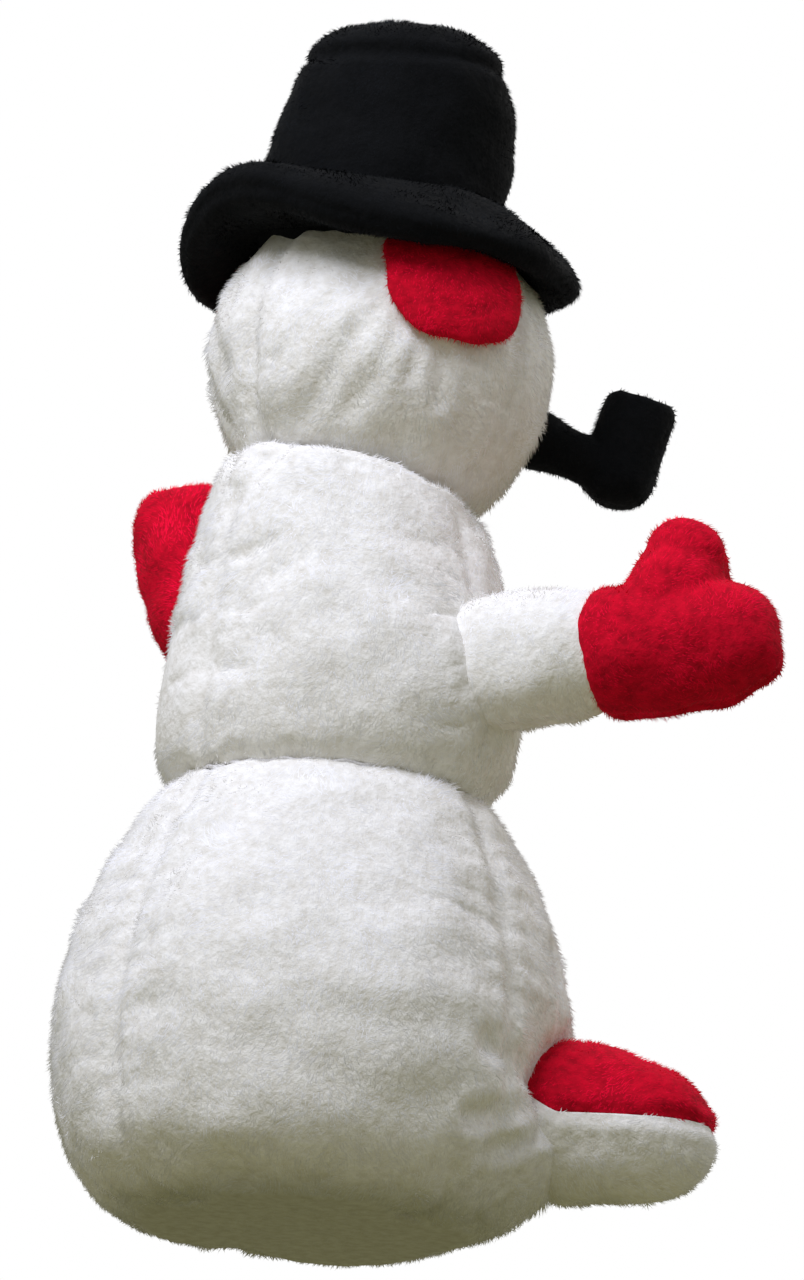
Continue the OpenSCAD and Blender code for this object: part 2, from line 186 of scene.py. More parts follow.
def matt_fibre(name, light, shade, clump):
    """Polyester fibre, knitted or twisted: matt and soft, with painted light on its clumps and painted shade
    in the hollows between them.
    """
    material = bpy.data.materials.new(name)
    material.use_nodes = True
    tree = material.node_tree
    shader = tree.nodes["Principled BSDF"]
    place = add(tree, "ShaderNodeTexCoord", {}).outputs["Object"]
    noise = {"Vector": place, "Scale": 1 / clump, "Detail": 3.0, "Roughness": 0.6}
    clumps = add(tree, "ShaderNodeTexNoise", noise)
    # the colour follows the same noise as the bump: the crests get painted light and the hollows get painted
    # shade
    painted_light_and_shade = add(tree, "ShaderNodeValToRGB", {"Fac": clumps.outputs["Fac"]})
    shaded_hollow, lit_crest = painted_light_and_shade.color_ramp.elements
    shaded_hollow.position, shaded_hollow.color = 0.3, linear(shade)
    lit_crest.position, lit_crest.color = 0.65, linear(light)
    bump = {"Height": clumps.outputs["Fac"], "Strength": 0.6, "Distance": clump / 3}
    relief = add(tree, "ShaderNodeBump", bump)
    tree.links.new(painted_light_and_shade.outputs["Color"], shader.inputs["Base Color"])
    tree.links.new(relief.outputs["Normal"], shader.inputs["Normal"])
    shader.inputs["Roughness"].default_value = 0.95
    shader.inputs["Specular IOR Level"].default_value = 0.1
    return material


def fibre(name, colour):
    """Crimped polyester pile of one tone: matt, because the light is lost between the fibres.

    A tuft is too fine to carry a pattern, so three such tones in drifts give the pile its mottling."""
    material = bpy.data.materials.new(name)
    material.use_nodes = True
    shader = material.node_tree.nodes["Principled BSDF"]
    shader.inputs["Base Color"].default_value = linear(colour)
    shader.inputs["Roughness"].default_value = 0.9
    shader.inputs["Specular IOR Level"].default_value = 0.1
    return material


def unit(rows):
    """Each row as a direction of length 1."""
    return rows / np.maximum(np.linalg.norm(rows, axis=1), 1e-9)[:, None]


def pile(skin, body, plush, seed, keep=None, comb=(0, 0, -1), lean=64, soft=0.7):
    """Grows the pile of a skin: tufts as thin three-sided blades, combed one way with a random swirl."""
    mesh = skin.data
    mesh.calc_loop_triangles()
    tri = np.empty(3 * len(mesh.loop_triangles), dtype=np.int32)
    mesh.loop_triangles.foreach_get("vertices", tri)
    tri = tri.reshape(-1, 3)
    corner, out = points_of(skin)[tri], outward_of(skin)[tri]
    area = np.linalg.norm(np.cross(corner[:, 1] - corner[:, 0], corner[:, 2] - corner[:, 0]), axis=1) / 2
    chance = np.random.default_rng(seed)
    pick = chance.choice(len(tri), int(area.sum() * plush["tufts_per_m2"]), p=area / area.sum())
    spot = chance.dirichlet((1, 1, 1), len(pick))[:, :, None]
    root, out = (corner[pick] * spot).sum(axis=1), (out[pick] * spot).sum(axis=1)
    if keep is not None:
        kept = keep(root, out)
        root, out = root[kept], out[kept]
    out = unit(out)
    swirl = np.stack([lumps(root, 0.05, seed + i) for i in (1, 2, 3)], axis=1)
    along = np.array(comb) + 0.7 * swirl + chance.normal(0, 0.3, root.shape)
    along = unit(along - out * (along * out).sum(axis=1)[:, None])
    angle = np.radians(lean + 9 * lumps(root, 0.03, seed + 4) + chance.normal(0, 6, len(root)))[:, None]
    way = out * np.cos(angle) + along * np.sin(angle)
    uneven = 1 + 0.2 * lumps(root, 0.04, seed + 5) + chance.normal(0, 0.15, len(root))
    long = plush["length"] * np.clip(uneven, 0.5, 1.5)
    across = unit(np.cross(way, out) + 1e-6)
    across = unit(across + 0.35 * chance.normal(size=(len(root), 1)) * np.cross(across, way))
    above = np.cross(across, way)
    tuft, lit = np.empty((len(root), 4, 3)), np.empty((len(root), 4, 3))
    for i, side in enumerate((across * 0.5, across * -0.5, above * 0.35)):
        tuft[:, i] = root - 0.001 * out + side * plush["width"]
        lit[:, i] = unit(soft * out + (1 - soft) * unit(side))
    tuft[:, 3] = root + way * long[:, None]
    lit[:, 3] = unit(soft * out + (1 - soft) * way)
    tuft[:, :, 2] = np.maximum(tuft[:, :, 2], 0.0005)
    corners = np.array([0, 1, 3, 1, 2, 3, 2, 0, 3, 0, 2, 1])
    faces = (np.arange(len(root))[:, None] * 4 + corners).reshape(-1, 3)
    lit = lit[:, corners]
    lit[:, :3], lit[:, 9:] = -above[:, None], -way[:, None]
    mesh = bpy.data.meshes.new(skin.name + "_pile")
    mesh.vertices.add(4 * len(root))
    mesh.vertices.foreach_set("co", tuft.ravel())
    mesh.loops.add(faces.size)
    mesh.loops.foreach_set("vertex_index", faces.ravel().astype(np.int32))
    mesh.polygons.add(len(faces))
    mesh.polygons.foreach_set("loop_start", np.arange(0, faces.size, 3, dtype=np.int32))
    shade = lumps(root, 0.045, seed + 6) + chance.normal(0, 0.5, len(root))
    tones = plush["tones"]
    tone = np.clip(((shade + 1) / 2 * len(tones)).astype(np.int32), 0, len(tones) - 1)
    mesh.polygons.foreach_set("material_index", np.repeat(tone, 4).astype(np.int32))
    mesh.polygons.foreach_set("use_smooth", np.ones(len(faces), dtype=bool))
    mesh.update(calc_edges=True)
    mesh.normals_split_custom_set(lit.reshape(-1, 3))
    for material in tones:
        mesh.materials.append(material)
    grown = bpy.data.objects.new(mesh.name, mesh)
    bpy.context.collection.objects.link(grown)
    # light passes deep into so fine a pile, so the tufts cast no shadow and throw no light back
    grown.visible_shadow = grown.visible_diffuse = False
    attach(grown, body)


WHITE = {
    "slot": "white_plush",
    # knitted ground, seen between the tufts: hollows 9 mm apart, with painted shade in them and painted light
    # on the clumps
    "ground": matt_fibre("white_plush_ground", "#efeeec", "#dcd9d3", 0.009),
    "tones": [
        fibre("white_pile_shaded", "#e8e7e7"),
        fibre("white_pile", "#efeff0"),
        fibre("white_pile_clean", "#f5f5f9"),
    ],
    "tufts_per_m2": 118000,
    "length": 0.0064,
    "width": 0.0014,
}

base_r, belly_r, belly_z = 0.100, 0.192, 0.145
waist_r, waist_z = 0.114, 0.335
belly_rings = quarter(base_r, 0.004, belly_r, belly_z, 2.6)
belly_rings += quarter(waist_r, waist_z, belly_r, belly_z, 1.35)[::-1][1:]
# directions of the panel seams: up the middle of the back, and up the right and the left side
SEAM_TURNS = (90, 194, -14)


def up_the_side(rings, turn):
    """The line that a panel seam takes up a form about Z, at a direction in degrees."""
    turn = math.radians(turn)
    return [(r * math.cos(turn), r * math.sin(turn), z) for r, z in rings]


belly = pattern("belly", belly_rings + [(0.06, 0.342)], 96)
stuff(belly, 0.006, 0.006, [up_the_side(belly_rings, turn) for turn in SEAM_TURNS])
spot = points_of(belly)
# the filling has slid back, so the lower front hangs slacker
slack = np.clip(-spot[:, 1] / 0.15, 0, 1) * np.clip(1 - spot[:, 2] / 0.1, 0, 1)
spot[:, :2] *= (1 - 0.09 * slack)[:, None]
shape(belly, spot)
for turn in SEAM_TURNS:
    fold(belly, away_from(points_of(belly), up_the_side(belly_rings, turn)), 0.003, 0.009)


def on_belly(turn, height):
    """A point of the belly's skin, by its direction in degrees and its height."""
    r = np.interp(height, [z for _, z in belly_rings], [r for r, _ in belly_rings]) + 0.005
    return r * math.cos(math.radians(turn)), r * math.sin(math.radians(turn)), height


# the cloth is drawn in round each foot, and creases run out from there
JOINT_AT = {joint["name"]: Vector(joint["pos_m"]) for joint in frame["joints"]}
FOOT_ROOTS = {-1: np.array(JOINT_AT["right_foot_flex"]), 1: np.array(JOINT_AT["left_foot_flex"])}
FOOT_TURNS = {side: math.degrees(math.atan2(root[1], root[0])) for side, root in FOOT_ROOTS.items()}
for side, turn in FOOT_TURNS.items():
    spot, root = points_of(belly), FOOT_ROOTS[side]
    beside = np.linalg.norm(spot - on_belly(turn + side * 20, 0.12), axis=1)
    drawn_in = 0.02 * np.exp(-((beside / 0.045) ** 2))
    gap = np.clip(away_from(spot, [root * (0.7, 0.7, 1), root * (1.3, 1.3, 1)]) - 0.056, 0, 0.07)
    filled_out = (0.07 - gap) ** 2 / (4 * 0.07) * np.clip((0.105 - spot[:, 2]) / 0.04, 0, 1)
    shape(belly, spot + outward_of(belly) * (filled_out - drawn_in)[:, None])
    spot = points_of(belly)
    pinched = 0.007 * np.clip((spot[:, 2] - 0.08) / 0.03, 0, 1)
    fold(belly, np.abs(np.linalg.norm(spot - root, axis=1) - 0.058), pinched, 0.012)
    for line, depth, width in (
        ([(19, 0.094), (30, 0.082), (46, 0.066)], 0.0055, 0.008),
        ([(18, 0.078), (26, 0.058), (36, 0.043)], 0.0045, 0.008),
        ([(20, 0.122), (33, 0.118), (44, 0.121)], 0.004, 0.009),
        ([(4, 0.162), (5, 0.20), (4, 0.235)], 0.003, 0.006),
        ([(11, 0.158), (12, 0.19), (11, 0.22)], 0.003, 0.006),
        ([(-4, 0.162), (-4, 0.195)], 0.0028, 0.006),
    ):
        crease = [on_belly(turn + side * aside, height) for aside, height in line]
        fold(belly, away_from(points_of(belly), crease), depth, width)
spot = points_of(belly)
soft_bumps = 0.0025 * lumps(spot, 0.14, 3) + 0.0011 * lumps(spot, 0.05, 4)
shape(belly, spot + outward_of(belly) * (soft_bumps * np.clip(spot[:, 2] / 0.03 - 0.3, 0, 1))[:, None])
belly.data.materials.append(WHITE["ground"])
spot = points_of(belly)
spot[:, 2] = np.maximum(spot[:, 2], 0.001)
shape(belly, spot)
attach(belly, "torso")
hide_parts("belly_shell", "belly_stuffing")


def belly_shows(root, out):
    """Where pile grows: clear of the feet, the base seam and the waist."""
    clear = np.all([np.linalg.norm(root - p, axis=1) > 0.05 for p in FOOT_ROOTS.values()], axis=0)
    return clear & (root[:, 2] > 0.003) & (root[:, 2] < 0.338)


pile(belly, "torso", WHITE, 11, belly_shows)

# BASE
# The flat round panel that the toy sits on, of the same plush, sewn round its edge to the belly.
# The weight of the filling presses it level and lays its pile flat.

base = pattern("base", [(0.09, 0.001), (0.1, 0.0025), (0.102, 0.006), (0.096, 0.011), (0.01, 0.013)], 96)
take(base)
rounding = base.modifiers.new("rounding", "SUBSURF")
rounding.levels = rounding.render_levels = 2
bpy.ops.object.modifier_apply(modifier="rounding")
bpy.ops.object.shade_smooth()
base.data.materials.append(WHITE["ground"])
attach(base, "torso")
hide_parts("base_panel")


def base_shows(root, out):
    """Where pile grows: on the under side and its rim."""
    return root[:, 2] < 0.008


pile(base, "torso", WHITE, 21, base_shows, lean=76)

# FEET
# Two soft feet sewn into the front of the belly, each a red upper and a white sole with a seam round the toe.
# Short red plush and white plush, filled looser than the belly; each bends at its root.

RED = {
    "slot": "red_plush",
    # knitted ground with painted shade in its hollows and painted light on its clumps, 9 mm apart
    "ground": matt_fibre("red_plush_ground", "#cc0828", "#a0061e", 0.009),
    "tones": [
        fibre("red_pile_shaded", "#d6042a"),
        fibre("red_pile", "#e60630"),
        fibre("red_pile_bright", "#f20838"),
    ],
    "tufts_per_m2": 130000,
    "length": 0.005,
    "width": 0.0013,
}

foot_rings = [(0.02, -0.054), (0.04, -0.045), (0.054, -0.028)]
foot_rings += [(0.0595, -0.008), (0.059, 0.012), (0.0565, 0.032)]
foot_rings += quarter(0.004, 0.107, 0.054, 0.047, 2.1)[::-1]


def turned(axis, degrees):
    """A turn about one axis of a piece's own frame."""
    return Matrix.Rotation(math.radians(degrees), 4, axis)


def placed(place, points):
    """Points of a piece's own frame, at their place on the toy."""
    return [tuple(place @ Vector(p)) for p in points]


def seam_rise(height):
    """How far up the seam of upper and sole lies: it sinks a little from the toe and climbs at the root."""
    climb = 0.017 * np.clip((-0.01 - height) / 0.028, 0, 1) ** 1.3
    return climb - 0.05 * np.clip(0.09 - height, 0, 0.1)


for side, name in ((-1, "right"), (1, "left")):
    place = Matrix.Translation(FOOT_ROOTS[side]) @ turned("Z", FOOT_TURNS[side]) @ turned("Y", 91)
    down, _, forward = (np.array(column) for column in place.to_3x3().col)
    foot = pattern(name + "_foot", foot_rings)
    own = points_of(foot)
    toe = np.clip(own[:, 2] / 0.107, 0, 1)
    own[:, 0] *= np.where(own[:, 0] < 0, 1 - 0.42 * toe**2, 1 + 0.04 * toe)
    shape(foot, own)
    seam = [(-float(seam_rise(z)), r, z) for r, z in foot_rings]
    seam += [(x, -y, z) for x, y, z in seam[::-1]]
    stuff(foot, 0.005, 0.004, [seam])
    fold(foot, away_from(points_of(foot), seam), 0.0025, 0.006)
    spot = points_of(foot)
    spot += outward_of(foot) * (0.0013 * lumps(spot, 0.05, 31 + side))[:, None]
    spot[:, 0] += seam_rise(spot[:, 2])
    shape(foot, spot)
    for part, sign, plush, inside in (
        ("upper", -1, RED, []),
        ("sole", 1, WHITE, [name + "_foot_stuffing"]),
    ):
        take(foot)
        bpy.ops.object.duplicate()
        piece = bpy.context.object
        piece.name = piece.data.name = f"{name}_foot_{part}_skin"
        bpy.ops.object.mode_set(mode="EDIT")
        bpy.ops.mesh.select_all(action="SELECT")
        bpy.ops.mesh.bisect(plane_co=(0, 0, 0), plane_no=(sign, 0, 0), use_fill=True, clear_inner=True)
        bpy.ops.object.mode_set(mode="OBJECT")
        spot = points_of(piece)
        spot[:, 0] -= seam_rise(spot[:, 2])
        shape(piece, spot)
        put(piece, place)
        piece.data.materials.append(plush["ground"])
        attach(piece, name + "_foot")
        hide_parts(f"{name}_foot_{part}", *inside)

        def foot_shows(root, out):
            """Where pile grows: outside the belly, and not on the cut between upper and sole."""
            on_cut = sign * (out * down).sum(axis=1) <= -0.4
            return ((root - FOOT_ROOTS[side]) @ forward > -0.03) & ~on_cut

        pile(piece, name + "_foot", plush, 33 + side + sign, foot_shows, tuple(0.8 * forward - (0, 0, 0.4)))
    bpy.data.objects.remove(foot)

# CHEST
# The upper ball of the body, in the same three panels as the belly and drawn in with a thread at the waist.
# The neck edge slopes forward, and both armholes are filled by the arms.

chest_r, chest_z = 0.132, 0.392
chest_rings = quarter(waist_r, 0.337, chest_r, chest_z, 2)
chest_rings += quarter(0.083, 0.600, chest_r, chest_z, 1.4, 16)[::-1][1:11]
chest_rings += [(0.1, 0.569), (0.088, 0.5745)]
chest = pattern("chest", chest_rings + [(0.074, 0.567), (0.03, 0.556)], 80)
own = points_of(chest)
rise = 0.19 * (own[:, 1] + 0.004) + 0.06 * own[:, 0]
own[:, 2] += rise * np.clip((own[:, 2] - 0.46) / 0.1, 0, 1)
shape(chest, own)
stuff(chest, 0.006, 0.004, [up_the_side(chest_rings[:-2], turn) for turn in SEAM_TURNS])
for turn in SEAM_TURNS:
    fold(chest, away_from(points_of(chest), up_the_side(chest_rings[:-2], turn)), 0.0025, 0.008)
spot = points_of(chest)
soft_bumps = 0.002 * lumps(spot, 0.11, 5) + 0.001 * lumps(spot, 0.045, 6)
shape(chest, spot + outward_of(chest) * soft_bumps[:, None])
SHOULDERS = {-1: np.array(JOINT_AT["right_arm_raise"]), 1: np.array(JOINT_AT["left_arm_raise"])}


def arm_place(side, forward, rise, twist=0):
    """The frame of an arm at its shoulder: +Z along the arm, -X up."""
    aim = turned("Z", 90 - side * (90 + forward)) @ turned("Y", 90 - rise)
    return Matrix.Translation(SHOULDERS[side]) @ aim @ turned("Z", twist)


ARM_PLACES = {-1: arm_place(-1, 40, 5), 1: arm_place(1, -14, 60, 20)}
# the cloth of the chest runs over into each sleeve, most of all behind the arm and least above it
for side, place in ARM_PLACES.items():
    axis, spot = np.array(place.to_3x3().col[2]), points_of(chest)
    reach = spot - SHOULDERS[side]
    beside = reach - (reach @ axis)[:, None] * axis
    behind, above = (np.clip(beside[:, i] / 0.05, 0, 1) for i in (1, 2))
    gap = np.clip(away_from(spot, [SHOULDERS[side], SHOULDERS[side] + 0.08 * axis]) - 0.05, 0, 0.1)
    swell = (0.55 + 0.6 * behind - 0.35 * above) * (0.1 - gap) ** 2 / (4 * 0.1)
    shape(chest, spot + outward_of(chest) * swell[:, None])
chest.data.materials.append(WHITE["ground"])
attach(chest, "torso")
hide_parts("chest_shell", "chest_stuffing")


def chest_shows(root, out):
    """Where pile grows: clear of the sleeves, the waist and the neck."""
    clear = np.ones(len(root), dtype=bool)
    for side, place in ARM_PLACES.items():
        reach = root - SHOULDERS[side]
        along = reach @ np.array(place.to_3x3().col[2])
        clear &= (np.linalg.norm(reach, axis=1) > 0.05) & (np.sqrt((reach**2).sum(axis=1) - along**2) > 0.048)
    return clear & (root[:, 2] > 0.334) & (np.hypot(root[:, 0], root[:, 1]) > 0.07)


pile(chest, "torso", WHITE, 41, chest_shows)

# WAIST THREAD
# The doubled polyester thread that gathers the plush between belly and chest.
# It is drawn tight into the crease and knotted there, so only a glint of it shows.

# twisted strands, drawn as spots 2 mm across: painted light on the raised ones and painted shade in the dips
# between them
thread = matt_fibre("polyester_gathering_thread", "#ecebee", "#d3d1d6", 0.002)
bpy.ops.object.select_all(action="DESELECT")
bpy.ops.mesh.primitive_torus_add(
    major_radius=0.1145, minor_radius=0.0014, major_segments=160, minor_segments=8
)
waist = bpy.context.object
waist.name = waist.data.name = "waist_gathering"
waist.location.z = 0.336
bpy.ops.object.transform_apply(location=True)
own = points_of(waist)
turn = np.arctan2(own[:, 1], own[:, 0])
own[:, 2] += 0.0012 * np.sin(30 * turn)
shape(waist, own)
bpy.ops.object.shade_smooth()
waist.data.materials.append(thread)
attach(waist, "torso")
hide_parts("waist_thread")

# ARMS
# A white sleeve on a round root turns in a cup-shaped gusset that is sewn into the armhole.
# A red mitten of two halves closes the sleeve, with its thumb up and its seam round the edge.

sleeve_rings = [(0.02, -0.05), (0.036, -0.038), (0.046, -0.021), (0.0505, -0.002), (0.052, 0.018)]
sleeve_rings += [(0.0505, 0.038), (0.048, 0.056), (0.0455, 0.076), (0.041, 0.09), (0.02, 0.095)]
mitten_rings = [(0.038, 0.0825), (0.0485, 0.0835)] + quarter(0.0495, 0.086, 0.0535, 0.15, 1.6)[1:]
mitten_rings += quarter(0.004, 0.2145, 0.0525, 0.15, 2.6)[::-1][1:]
thumb_rings = [(0.043, 0), (0.0455, 0.034), (0.0395, 0.056)]
thumb_rings += quarter(0.003, 0.1, 0.0315, 0.072, 2.1)[::-1]
cup_rings = [(0.008, -0.04), (0.02, -0.034), (0.03, -0.025), (0.035, -0.013), (0.036, -0.003)]
cup_rings += [(0.033, 0.0), (0.013, 0.001)]


def cuff_bow(across):
    """How far the cuff's edge bows back towards the shoulder on each face of the mitten."""
    return 0.011 * np.clip(1 - (across / 0.05) ** 2, 0, 1)


for side, name, cup_rise in ((-1, "right", 5), (1, "left", 22)):
    cup = pattern(name + "_gusset_skin", cup_rings)
    put(cup, arm_place(side, 15, cup_rise))
    stuff(cup, 0.005, 0.002)
    cup.data.materials.append(WHITE["ground"])
    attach(cup, name + "_shoulder")
    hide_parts(name + "_gusset")

    place = ARM_PLACES[side]
    low_way, flat_way, axis = (np.array(column) for column in place.to_3x3().col)
    comb = tuple(0.7 * axis + np.array((0, 0, -0.5)))

    def past_cuff(root):
        """How far a point lies along the arm, counted with the bow of the cuff."""
        reach = root - SHOULDERS[side]
        return reach @ axis + cuff_bow(reach @ low_way)

    def sleeve_shows(root, out):
        """Where pile grows: outside the chest, up to the cuff."""
        return ((root - SHOULDERS[side]) @ axis > -0.03) & (past_cuff(root) < 0.074)

    def mitten_shows(root, out):
        """Where pile grows: from the cuff on."""
        return past_cuff(root) > 0.07

    sleeve = pattern(name + "_sleeve_skin", sleeve_rings)
    own = points_of(sleeve)
    # flatter at the back, so that the sleeve runs out of the chest without a step
    flat = 0.3 * np.clip((0.066 - own[:, 2]) / 0.06, 0, 1) + 0.2 * np.clip(-own[:, 2] / 0.04, 0, 1)
    own[:, 1] *= np.where(own[:, 1] * side > 0, 1 - flat, 1)
    shape(sleeve, own)
    put(sleeve, place)
    seam = placed(place, [(r, 0, z) for r, z in sleeve_rings[3:9]])
    stuff(sleeve, 0.005, 0.003, [seam])
    fold(sleeve, away_from(points_of(sleeve), seam), 0.002, 0.006)
    spot = points_of(sleeve)
    shape(sleeve, spot + outward_of(sleeve) * (0.0014 * lumps(spot, 0.05, 53 + side))[:, None])
    sleeve.data.materials.append(WHITE["ground"])
    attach(sleeve, name + "_arm")
    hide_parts(name + "_sleeve", name + "_arm_stuffing")
    pile(sleeve, name + "_arm", WHITE, 55 + side, sleeve_shows, comb)

    mitten = pattern(name + "_mitten_skin", mitten_rings)
    thumb = pattern(name + "_thumb", thumb_rings)
    put(thumb, Matrix.Translation((0, 0, 0.129)) @ turned("Y", -76))
    take(thumb)
    mitten.select_set(True)
    bpy.context.view_layer.objects.active = mitten
    bpy.ops.object.join()
    own = points_of(mitten)
    own[:, 1] *= np.interp(own[:, 2], [0.08, 0.13], [1, 0.9])
    # the cuff's edge bows back, and the lower edge rises to a square corner at the finger tips
    low = np.clip(own[:, 0] / 0.05, 0, 1)
    own[:, 2] -= cuff_bow(own[:, 0]) * np.clip((0.125 - own[:, 2]) / 0.04, 0, 1)
    own[:, 2] += 0.007 * low * np.clip((own[:, 2] - 0.15) / 0.05, 0, 1)
    own[:, 0] -= 0.014 * low * np.clip((own[:, 2] - 0.09) / 0.12, 0, 1) ** 1.5
    shape(mitten, own)
    put(mitten, place)
    stuff(mitten, 0.005, 0.0025)
    off_seam = np.abs((points_of(mitten) - SHOULDERS[side]) @ flat_way)
    fold(mitten, off_seam, 0.0022, 0.005)
    spot = points_of(mitten)
    shape(mitten, spot + outward_of(mitten) * (0.0014 * lumps(spot, 0.045, 57 + side))[:, None])
    mitten.data.materials.append(RED["ground"])
    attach(mitten, name + "_arm")
    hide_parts(name + "_mitten_palm", name + "_mitten_back", name + "_mitten_stuffing")
    pile(mitten, name + "_arm", RED, 59 + side, mitten_shows, comb)

# NECK
# The white plush gathered between chest and head, in soft pleats.
# It is sewn round a firm wad of fibre, on which the head nods and turns.

neck_place = Matrix.Translation(JOINT_AT["head_nod"]) @ turned("X", 9)
bpy.ops.object.select_all(action="DESELECT")
bpy.ops.mesh.primitive_torus_add(
    major_radius=0.066, minor_radius=0.0125, major_segments=120, minor_segments=20
)
neck = bpy.context.object
neck.name = neck.data.name = "neck_gather"
own = points_of(neck)
turn = np.arctan2(own[:, 1], own[:, 0])
pleat = 1 + 0.018 * np.sin(26 * turn + 1.5 * np.sin(3 * turn))
own[:, :2] *= pleat[:, None]
shape(neck, own)
put(neck, neck_place)
bpy.ops.object.shade_smooth()
neck.data.materials.append(WHITE["ground"])
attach(neck, "neck")


def neck_shows(root, out):
    """Where pile grows: on the outer half of the gather."""
    return (out * root)[:, :2].sum(axis=1) > 0


pile(neck, "neck", WHITE, 45, neck_shows, lean=40)

# HEAD
# A ball of the same white plush in the same panels, filled tight and sewn on tilted to its right.
# The cloth wrinkles where the ear muffs are stitched on.

head_r, head_rise = 0.128, 0.099
HEAD = neck_place @ Vector((0, 0, head_rise))
head_place = Matrix.Translation(HEAD) @ turned("Y", -4.5) @ turned("X", -2)
low = math.asin(0.103 / head_r)
head_turns = [-low + (math.pi * 0.488 + low) * i / 26 for i in range(27)]
head = pattern("head", [(head_r * math.cos(t), head_rise + head_r * math.sin(t)) for t in head_turns], 80)
put(head, neck_place)


def on_head(right, up, radius=0.13):
    """A point of the head, in degrees to its right of the face and up."""
    right, up = math.radians(-90 - right), math.radians(up)
    flat = radius * math.cos(up)
    return tuple(head_place @ Vector((flat * math.cos(right), flat * math.sin(right), radius * math.sin(up))))


head_seams = [[on_head(right, up) for up in range(-42, 46, 4)] for right in (180, 76, -76)]
stuff(head, 0.0055, 0.004, head_seams)
for seam in head_seams:
    fold(head, away_from(points_of(head), seam), 0.003, 0.009)
for side in (1, -1):
    for line, depth, width in (
        ([(130, 11), (141, -6), (155, -27)], 0.0024, 0.009),
        ([(123, 5), (131, -15), (138, -26)], 0.0016, 0.008),
        ([(108, -2), (106, -19)], 0.002, 0.007),
        ([(115, 1), (118, -12)], 0.0014, 0.006),
        ([(136, 18), (152, 6), (165, -8)], 0.0018, 0.010),
    ):
        wrinkle = [on_head(side * right, up) for right, up in line]
        fold(head, away_from(points_of(head), wrinkle), depth, width)
spot = points_of(head)
soft_bumps = 0.0016 * lumps(spot, 0.09, 7) + 0.001 * lumps(spot, 0.04, 8)
shape(head, spot + outward_of(head) * soft_bumps[:, None])
head.data.materials.append(WHITE["ground"])
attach(head, "head")
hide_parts("head_shell", "head_stuffing")
hat_place = head_place @ Matrix.Translation((0, 0.014, 0))
hat_frame = np.array(hat_place.inverted())
neck_frame = np.array(neck_place.inverted())


def head_shows(root, out):
    """Where pile grows: clear of the hat and the neck."""
    in_hat = root @ hat_frame[:3, :3].T + hat_frame[:3, 3]
    in_neck = root @ neck_frame[:3, :3].T + neck_frame[:3, 3]
    under_hat = (in_hat[:, 2] > 0.072) & (np.hypot(in_hat[:, 0], in_hat[:, 1]) < 0.14)
    return ~under_hat & (in_neck[:, 2] > 0.0)


pile(head, "head", WHITE, 61, head_shows)

# EAR MUFFS
# A round patch of the red plush over each ear, lightly padded.
# It is stitched to the head round its edge, and its top is under the brim.

muff_rings = [(0.053, 0), (0.0645, 0.001), (0.0685, 0.004), (0.0655, 0.0075), (0.053, 0.0095)]
muff_rings += [(0.028, 0.0105), (0.004, 0.011)]
for side, name in ((1, "right"), (-1, "left")):
    muff_place = head_place @ turned("Z", -90 - side * 103) @ turned("Y", 90 - 25)
    muff = pattern(name + "_muff", muff_rings)
    own = points_of(muff)
    turn = np.arctan2(own[:, 1], own[:, 0])
    own[:, :2] *= (0.97 + 0.05 * np.cos(4 * turn + math.pi) + 0.015 * np.sin(9 * turn))[:, None]
    # the patch is bent round the ball of the head
    ray = np.stack([own[:, 0], own[:, 1], np.full(len(own), 0.135)], axis=1)
    own = ray / np.linalg.norm(ray, axis=1)[:, None] * (0.132 + own[:, 2])[:, None]
    shape(muff, own)
    put(muff, head_place.inverted() @ muff_place)
    own = points_of(muff)
    own[:, 2] = np.minimum(own[:, 2], 0.079)
    shape(muff, own)
    put(muff, head_place)
    stuff(muff, 0.004, 0.0015)
    muff.data.materials.append(RED["ground"])
    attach(muff, "head")
    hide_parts(name + "_ear_muff")
    pile(muff, "head", RED, 71 + side)

# FACE
# Domed plastic eyes whose posts are locked behind the plush, and a stuffed carrot nose of orange plush.
# The smile is a row of short stitches in thick black yarn.


def moulded_plastic(name, colour):
    """Moulded plastic: an even colour under a clear highlight, broken up by a faint ripple of the mould."""
    material = bpy.data.materials.new(name)
    material.use_nodes = True
    tree = material.node_tree
    shader = tree.nodes["Principled BSDF"]
    shader.inputs["Base Color"].default_value = linear(colour)
    shader.inputs["Specular IOR Level"].default_value = 0.3
    # the ripple is 4 mm long
    place = add(tree, "ShaderNodeTexCoord", {}).outputs["Object"]
    ripple = add(tree, "ShaderNodeTexNoise", {"Vector": place, "Scale": 1 / 0.004, "Detail": 1.0})
    rough = add(tree, "ShaderNodeMapRange", {"Value": ripple.outputs["Fac"], "To Min": 0.16, "To Max": 0.3})
    tree.links.new(rough.outputs["Result"], shader.inputs["Roughness"])
    return material


shell = moulded_plastic("black_moulded_plastic", "#0a0a0c")
for name, aside in (("right", 15), ("left", -15)):
    bpy.ops.object.select_all(action="DESELECT")
    bpy.ops.mesh.primitive_uv_sphere_add(segments=40, ring_count=20, radius=0.0135)
    eye = bpy.context.object
    eye.name = eye.data.name = name + "_eye_dome"
    middle = Vector(on_head(aside, 11, 0.134))
    flat = Matrix.Scale(0.6, 4, (0, 0, 1))
    facing = (middle - HEAD).to_track_quat("Z", "Y").to_matrix().to_4x4()
    put(eye, Matrix.Translation(middle) @ facing @ flat)
    bpy.ops.object.shade_smooth()
    eye.data.materials.append(shell)
    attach(eye, "head")
    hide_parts(name + "_eye")

